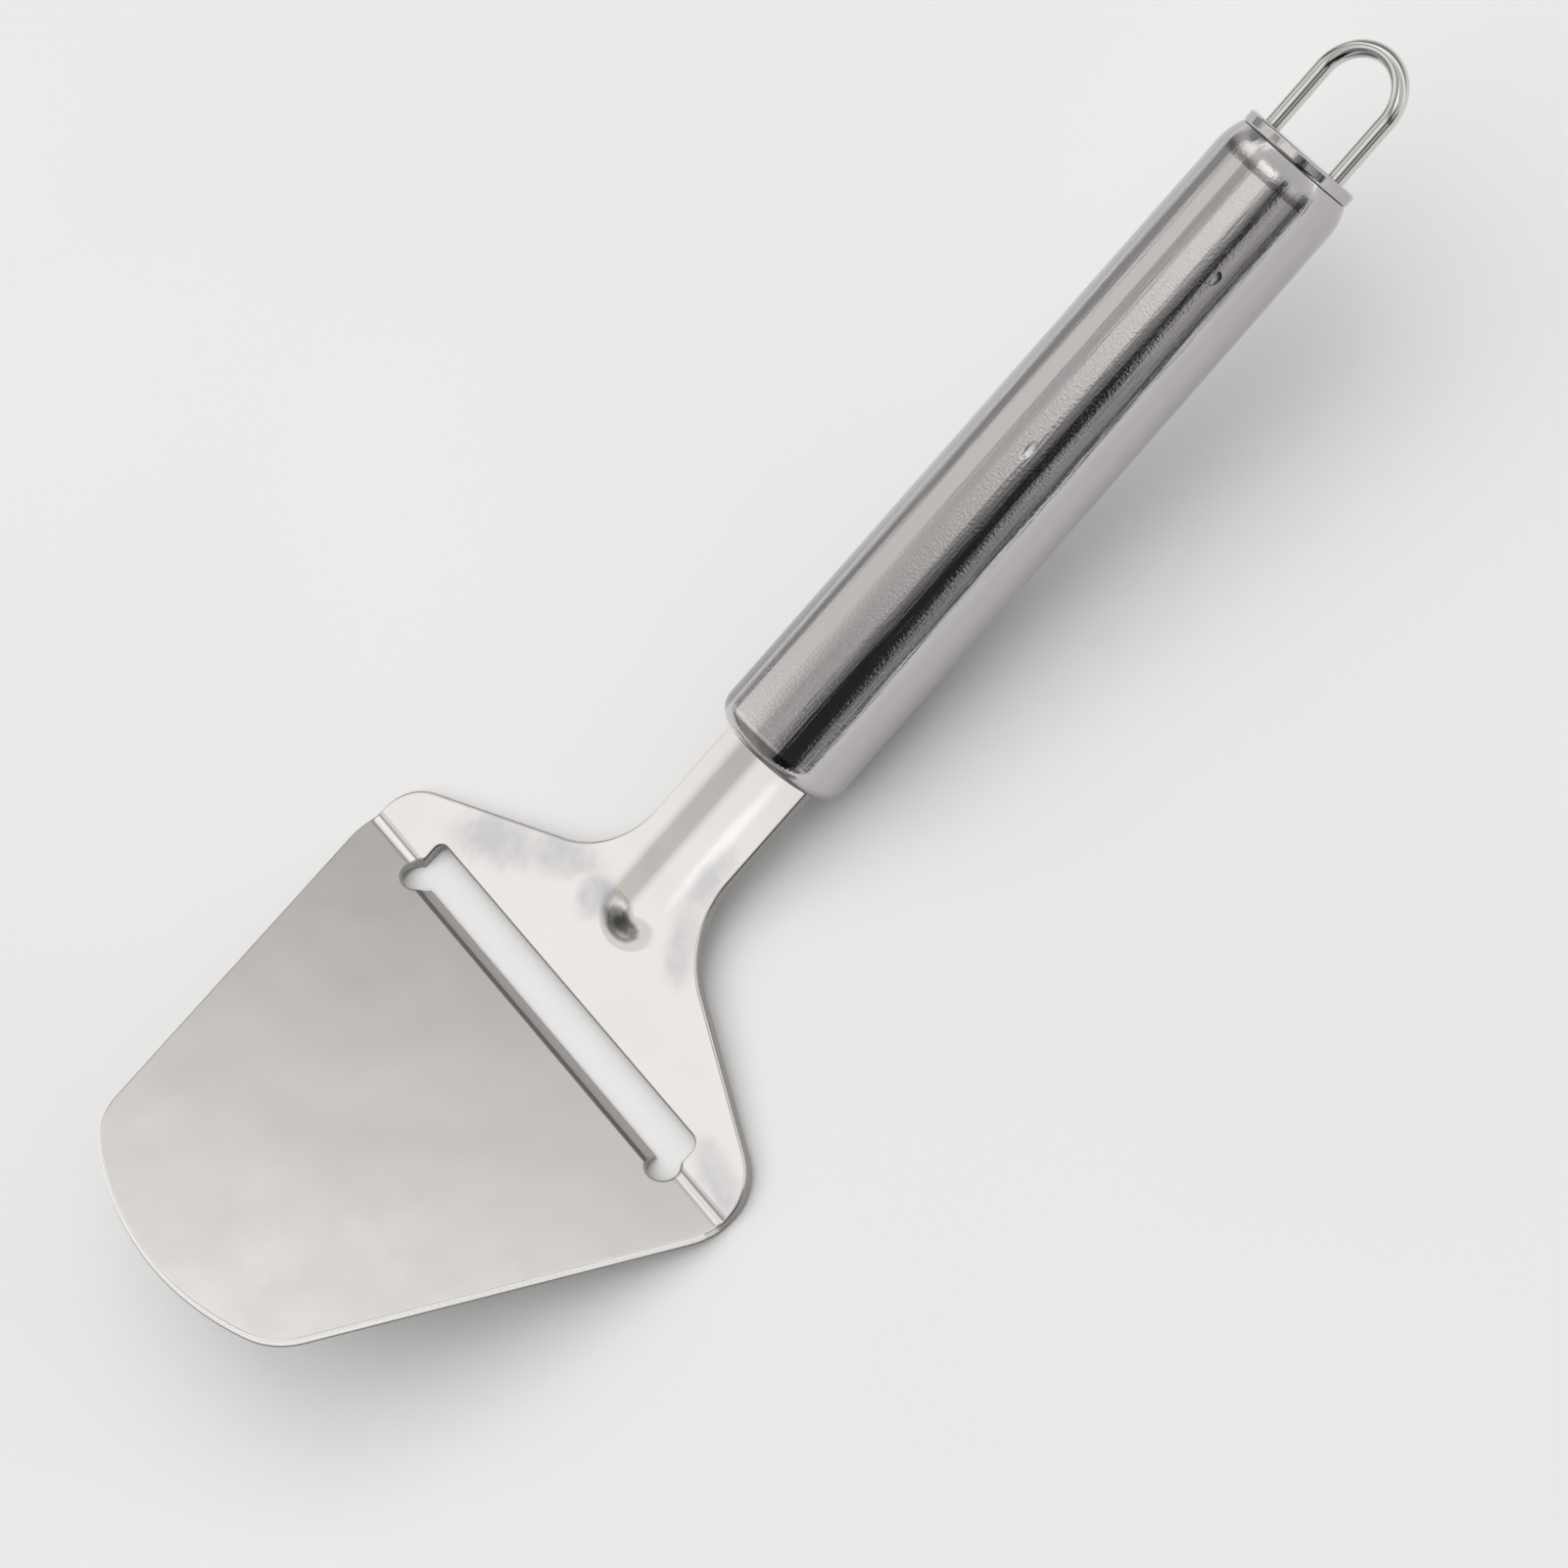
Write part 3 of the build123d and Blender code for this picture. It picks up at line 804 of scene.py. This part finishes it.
def handle_steel(finishes):
    """Polished tube and caps: fine lengthwise scratches, faint film, painted flank shade and two small
    nicks.
    """
    material, tree, shader = new_metal("handle_polish")
    own = object_place(tree)
    along = along_handle(tree, finishes.handle_pitch)

    # Where each mark lies
    scratches = scratches_on(tree, along, finishes.scratch_spacing, HANDLE_SCRATCH_COVER)
    deep_spacing = finishes.scratch_spacing * DEEP_SCRATCH_SPACING_SHARE
    deep = scratches_on(tree, along, deep_spacing, DEEP_SCRATCH_COVER)
    smudges = smudges_on(tree, along, finishes.smudge_size * HANDLE_FILM_SIZE_SHARE, HANDLE_FILM_COVER)
    # Painted shade low on both flanks, darkest on the far flank by the blade
    flank_shade = cut_edge(tree, handle_upright(finishes.handle_pitch), FLANK_LEAN)
    facing = axis_parts(tree, add(tree, "ShaderNodeNewGeometry").outputs["Normal"])
    far_flank_shade = step_between(tree, facing["Y"], FAR_FLANK_FROM, FAR_FLANK_FULL)
    from_front = step_between(tree, axis_parts(tree, along)["X"], FAR_SHADE_FRONT, FAR_SHADE_REAR)
    far_shade_colour = blend_colours(tree, from_front, tuple(finishes.far_shade_front_colour),
                               tuple(finishes.far_shade_rear_colour))
    nicked = 0.0
    for middle, reach in NICKS:
        nicked = reckon(tree, "MAXIMUM", nicked, patch_on(tree, own, middle, reach))

    # Each mark's colour over the one before
    coloured = tuple(finishes.handle_colour)
    for mask, colour in (
        (product(tree, scratches["Mask"], HANDLE_SCRATCH_STRENGTH), HANDLE_SCRATCH_SHADE),
        (product(tree, smudges, HANDLE_FILM_STRENGTH), tuple(finishes.film_and_reflection_colour)),
        # Painted shade low on the flanks, and darker painted shade on the far flank
        (flank_shade, tuple(finishes.flank_shade_colour)),
        (far_flank_shade, far_shade_colour),
        (nicked, NICK_SHADE),
    ):
        coloured = blend_colours(tree, mask, coloured, colour)
    tree.links.new(coloured, shader.inputs["Base Color"])

    rough = finishes.handle_roughness
    for mask, roughens in (
        (scratches["Mask"], HANDLE_SCRATCH_ROUGHENS),
        (smudges, HANDLE_FILM_ROUGHENS),
        (deep["Mask"], DEEP_SCRATCH_ROUGHENS),
    ):
        rough = reckon(tree, "ADD", rough, product(tree, mask, roughens))
    rough = reckon(tree, "MAXIMUM", rough, product(tree, nicked, NICK_ROUGHNESS))
    tree.links.new(rough, shader.inputs["Roughness"])
    grain = satin_on(tree, along, HANDLE_GRAIN)["Grain"]
    relief = reckon(tree, "ADD", scratches["Height"], product(tree, grain, HANDLE_GRAIN_SHARE))
    relief = reckon(tree, "SUBTRACT", relief, product(tree, nicked, NICK_DEPTH_SHARE))
    raised(tree, shader, relief, HANDLE_RELIEF)
    return material


def wire_steel(finishes):
    """Drawn wire, bright, with faint lines along it and a little handling film."""
    material, tree, shader = new_metal("wire_bright")
    along = along_handle(tree, finishes.handle_pitch)
    line_spacing = finishes.scratch_spacing * WIRE_LINE_SPACING_SHARE
    lines = scratches_on(tree, along, line_spacing, WIRE_LINE_COVER)
    smudges = smudges_on(tree, along, finishes.smudge_size * WIRE_FILM_SIZE_SHARE, WIRE_FILM_COVER)
    filmed = product(tree, smudges, WIRE_FILM_STRENGTH)
    coloured = blend_colours(tree, filmed, tuple(finishes.wire_colour), WIRE_FILM_SHADE)
    tree.links.new(coloured, shader.inputs["Base Color"])
    rough = reckon(tree, "ADD", finishes.wire_roughness, product(tree, lines["Mask"], WIRE_LINE_ROUGHENS))
    tree.links.new(rough, shader.inputs["Roughness"])
    raised(tree, shader, lines["Height"], WIRE_RELIEF, WIRE_RELIEF_STRENGTH)
    return material


def weld_steel(finishes):
    """Weld bead: dull, with a heat tint in patches and a rippled skin."""
    material, tree, shader = new_metal("weld_as_laid")
    own = object_place(tree)
    tinted = smudges_on(tree, own, HEAT_PATCH_SIZE, HEAT_PATCH_COVER)
    skin = satin_on(tree, own, WELD_GRAIN)
    coloured = blend_colours(tree, tinted, tuple(finishes.weld_colour), tuple(finishes.heat_colour))
    tree.links.new(coloured, shader.inputs["Base Color"])
    smoothest = finishes.weld_roughness - WELD_ROUGHNESS_BELOW
    roughest = finishes.weld_roughness + WELD_ROUGHNESS_ABOVE
    rough = step_between(tree, skin["Clouds"], CLOUD_LOW, CLOUD_HIGH, smoothest, roughest)
    tree.links.new(rough, shader.inputs["Roughness"])
    raised(tree, shader, skin["Grain"], WELD_RELIEF, WELD_RELIEF_STRENGTH)
    return material


def dress(names, material):
    """Puts material into every slot of the named CAD nodes."""
    for name in names:
        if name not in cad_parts:
            raise RuntimeError(f"the packed model has no node named {name}")
        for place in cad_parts[name].material_slots:
            place.material = material


class SLICER_OT_finish_blade(bpy.types.Operator):
    """Give the blade its satin toe plate and polished shoulders"""

    bl_idname = "slicer.finish_blade"
    bl_label = "Finish blade"

    def execute(self, context):
        dress(("blade",), blade_steel(context.scene.slicer_finishes))
        return {"FINISHED"}


class SLICER_OT_finish_handle(bpy.types.Operator):
    """Give the handle tube and its two caps their polish"""

    bl_idname = "slicer.finish_handle"
    bl_label = "Finish handle"

    def execute(self, context):
        dress(("handle_tube", "front_cap", "rear_cap"), handle_steel(context.scene.slicer_finishes))
        return {"FINISHED"}


class SLICER_OT_finish_loop(bpy.types.Operator):
    """Give the hanging loop its bright drawn wire"""

    bl_idname = "slicer.finish_loop"
    bl_label = "Finish loop"

    def execute(self, context):
        dress(("hanging_loop",), wire_steel(context.scene.slicer_finishes))
        return {"FINISHED"}


class SLICER_OT_finish_welds(bpy.types.Operator):
    """Give the two hidden weld beads their heat-tinted skin"""

    bl_idname = "slicer.finish_welds"
    bl_label = "Finish welds"

    def execute(self, context):
        dress(("neck_weld_lower", "neck_weld_upper"), weld_steel(context.scene.slicer_finishes))
        return {"FINISHED"}


def floor_disc(radius, sides):
    """A flat disc at height zero: its outline is radius times the cosine and sine of equal turns."""
    turns = np.arange(sides) * (2 * math.pi / sides)
    points = np.stack((radius * np.cos(turns), radius * np.sin(turns), np.zeros(sides)), axis=1)
    mesh = bpy.data.meshes.new("floor")
    mesh.from_pydata(points.tolist(), [], [list(range(sides))])
    return bpy.data.objects.new("floor", mesh)


def floor_paint(stage):
    """Matt pale floor with the faintest clouding."""
    material = bpy.data.materials.new("pale_floor")
    material.use_nodes = True
    tree = material.node_tree
    shader = tree.nodes["Principled BSDF"]
    values = {"Vector": object_place(tree), "Scale": FLOOR_CLOUDS, "Detail": 2.0}
    clouds = add(tree, "ShaderNodeTexNoise", values).outputs["Fac"]
    pale = tuple(stage.floor_colour)
    shade = (*(FLOOR_CLOUD_SHADE * level for level in pale[:3]), 1.0)
    colour = blend_colours(tree, step_between(tree, clouds, CLOUD_LOW, CLOUD_HIGH), pale, shade)
    tree.links.new(colour, shader.inputs["Base Color"])
    shader.inputs["Roughness"].default_value = FLOOR_ROUGHNESS
    shader.inputs["Specular IOR Level"].default_value = FLOOR_SHINE
    return material


def front_to_rear(tree, forward, at_front, at_rear):
    """A strip's measure, which passes evenly from its front end's value to its rear end's."""
    return slope_between(tree, forward, FRONT_END_LEAN, REAR_END_LEAN, at_front, at_rear)


def within_strip(tree, turn, forward, edges):
    """1 between a strip's two edges and 0 beside it."""
    past_edges = []
    for at_front, at_rear, softness in edges:
        from_edge = reckon(tree, "SUBTRACT", turn, front_to_rear(tree, forward, at_front, at_rear))
        past_edges.append(step_between(tree, from_edge, -softness, softness))
    return reckon(tree, "SUBTRACT", *past_edges)


def strips_of_light(tree, turn, forward):
    """The strips round the handle by a direction's turn, strong or weak by how far it leans forward."""
    light = SURROUND_LIGHT
    for edges, at_front, at_rear in STRIPS:
        level = front_to_rear(tree, forward, at_front, at_rear)
        light = blend_values(tree, within_strip(tree, turn, forward, edges), light, level)
    at_neck = step_between(tree, forward, NECK_LIGHT_FROM, NECK_LIGHT_TO, 0.0, NECK_LIGHT_SHARE)
    light = blend_values(tree, at_neck, light, NECK_LIGHT)
    light = blend_values(tree, within_strip(tree, turn, forward, DARK_STRIP_EDGES), light, DARK_STRIP_LIGHT)
    tinted = add(tree, "ShaderNodeVectorMath", {0: STRIP_TINT, "Scale": light}, operation="SCALE").outputs[0]
    levels = [(place, (level, level, level)) for place, level in STRIP_STRENGTH]
    values = {0: tinted, 1: colour_steps(tree, forward, levels, -1, 1)}
    return add(tree, "ShaderNodeVectorMath", values, operation="MULTIPLY").outputs[0]


def studio_world(pitch):
    """Studio light as a function of direction.

    The turn about the handle's line, arctan2(sideways part, part above the handle), picks a strip. Where the
    direction leans forward along the handle, a large panel takes over, whose light goes by how far the
    direction leans into it.
    """
    world = bpy.data.worlds.new("studio")
    world.use_nodes = True
    tree = world.node_tree
    direction = add(tree, "ShaderNodeTexCoord").outputs["Generated"]
    values = {"Vector": direction, "Angle": pitch}
    turned = add(tree, "ShaderNodeVectorRotate", values, rotation_type="Y_AXIS").outputs["Vector"]
    parts = axis_parts(tree, turned)
    turn = product(tree, reckon(tree, "ARCTAN2", parts["Y"], parts["Z"]), math.degrees(1.0))
    strips = strips_of_light(tree, turn, parts["X"])
    panel = colour_steps(tree, along_vector(tree, direction, PANEL_DIRECTION), PANEL_STEPS, -1, 1)
    in_panel = step_between(tree, parts["X"], PANEL_FROM_LEAN, PANEL_FULL_LEAN)
    light = blend_colours(tree, in_panel, strips, panel)
    tree.links.new(light, tree.nodes["Background"].inputs["Color"])
    return world


class SLICER_OT_set_stage(bpy.types.Operator):
    """Make the floor, the studio light and the camera"""

    bl_idname = "slicer.set_stage"
    bl_label = "Set stage"

    def execute(self, context):
        stage = context.scene.slicer_stage
        scene = context.scene
        floor = floor_disc(stage.floor_radius, stage.floor_sides)
        floor.data.materials.append(floor_paint(stage))
        scene.collection.objects.link(floor)
        scene.world = studio_world(scene.slicer_finishes.handle_pitch)
        lamp_data = bpy.data.lights.new("soft_lamp", "AREA")
        lamp_data.shape = "SQUARE"
        lamp_data.size = stage.lamp_size
        lamp_data.energy = stage.lamp_power
        lamp = bpy.data.objects.new("soft_lamp", lamp_data)
        lamp.location = stage.lamp_place
        lamp.rotation_mode = "QUATERNION"
        lamp.rotation_quaternion = lamp.location.to_track_quat("Z", "Y")
        lamp.visible_glossy = False
        scene.collection.objects.link(lamp)
        camera_data = bpy.data.cameras.new("camera")
        camera_data.lens = stage.camera_lens
        camera = bpy.data.objects.new("camera", camera_data)
        camera.location = stage.camera_place
        camera.rotation_euler = stage.camera_turn
        scene.collection.objects.link(camera)
        scene.camera = camera
        scene.view_settings.view_transform = "Standard"
        return {"FINISHED"}


class SLICER_PT_sidebar(bpy.types.Panel):
    """Lists the slicer's finishes and stage"""

    bl_idname = "SLICER_PT_sidebar"
    bl_label = "Cheese slicer"
    bl_space_type = "VIEW_3D"
    bl_region_type = "UI"
    bl_category = "Slicer"

    def draw(self, context):
        for settings in (context.scene.slicer_finishes, context.scene.slicer_stage):
            for name in settings.__annotations__:
                self.layout.prop(settings, name)
        for operator in OPERATORS:
            self.layout.operator(operator.bl_idname)


OPERATORS = (
    SLICER_OT_finish_blade,
    SLICER_OT_finish_handle,
    SLICER_OT_finish_loop,
    SLICER_OT_finish_welds,
    SLICER_OT_set_stage,
)
CLASSES = (SLICER_PG_finishes, SLICER_PG_stage, *OPERATORS, SLICER_PT_sidebar)


def register():
    """Adds the classes and the scene's two groups of settings."""
    for kind in CLASSES:
        bpy.utils.register_class(kind)
    bpy.types.Scene.slicer_finishes = PointerProperty(type=SLICER_PG_finishes)
    bpy.types.Scene.slicer_stage = PointerProperty(type=SLICER_PG_stage)


def unregister():
    """Takes them away again."""
    del bpy.types.Scene.slicer_stage
    del bpy.types.Scene.slicer_finishes
    for kind in reversed(CLASSES):
        bpy.utils.unregister_class(kind)


def main():
    """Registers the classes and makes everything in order."""
    register()
    bpy.ops.slicer.finish_blade()
    bpy.ops.slicer.finish_handle()
    bpy.ops.slicer.finish_loop()
    bpy.ops.slicer.finish_welds()
    bpy.ops.slicer.set_stage()


if __name__ == "__main__":
    main()
